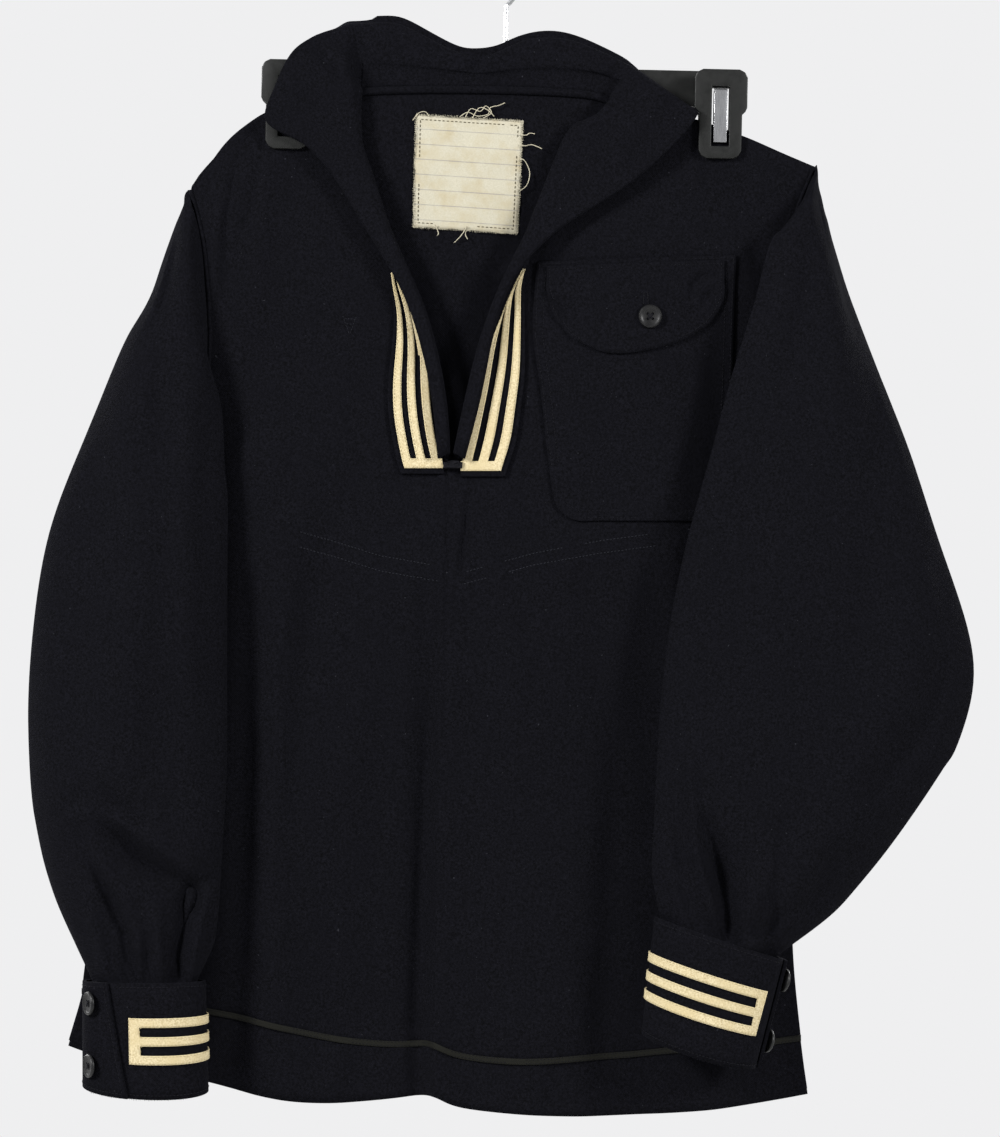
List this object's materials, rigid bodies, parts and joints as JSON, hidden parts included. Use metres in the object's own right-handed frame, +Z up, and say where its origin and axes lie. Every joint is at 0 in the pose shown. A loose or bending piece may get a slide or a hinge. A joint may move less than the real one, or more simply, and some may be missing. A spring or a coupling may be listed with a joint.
{
  "type": "sailor jumper on a clip hanger",
  "caption": "Dark wool pullover with a square sailor collar, deep neck slash, breast pocket, full sleeves and buttoned cuffs, clipped to a hanger.",
  "frame": {"origin": "inner top of the hanger's hook, where it bears on a rail", "axes": "+Z up, +X to the viewer's right across the front, +Y from the front to the back"},
  "size_m": [0.684, 0.0896, 0.8581],
  "materials": {
    "wool_cloth": "fulled navy-black wool, matt with a soft nap",
    "cream_tape": "cream cotton tape, stitched along both edges",
    "dark_tape": "narrow dark twill tape and thread",
    "label_cloth": "aged cream cotton, frayed at the edges, bare",
    "button": "dark moulded button, softly shiny",
    "hanger_plastic": "black moulded plastic with a satin face",
    "spring_steel": "bright spring steel",
    "hook_wire": "bright plated wire"
  },
  "bodies": {
    "root": {"body_front": "wool_cloth", "front_yoke": "wool_cloth", "body_back": "wool_cloth", "sleeve_left": "wool_cloth", "sleeve_right": "wool_cloth", "cuff_left": "wool_cloth", "cuff_right": "wool_cloth", "collar": "wool_cloth", "collar_end_left": "wool_cloth", "collar_end_right": "wool_cloth", "pocket": "wool_cloth", "pocket_flap": "wool_cloth", "collar_tape_left": "cream_tape", "collar_tape_right": "cream_tape", "flap_tape_outer": "cream_tape", "flap_tape_middle": "cream_tape", "flap_tape_inner": "cream_tape", "cuff_tape_left": "cream_tape", "cuff_tape_right": "cream_tape", "hem_tape_front": "dark_tape", "hem_tape_back": "dark_tape", "neck_tack": "dark_tape", "pocket_button": "button", "cuff_button_left_upper": "button", "cuff_button_left_lower": "button", "cuff_button_right_upper": "button", "cuff_button_right_lower": "button", "label": "label_cloth", "hanger_bar": "hanger_plastic", "clip_jaw_left": "hanger_plastic", "clip_jaw_right": "hanger_plastic", "clip_spring_left": "spring_steel", "clip_spring_right": "spring_steel", "hanger_hook": "hook_wire"}
  },
  "joints": []
}
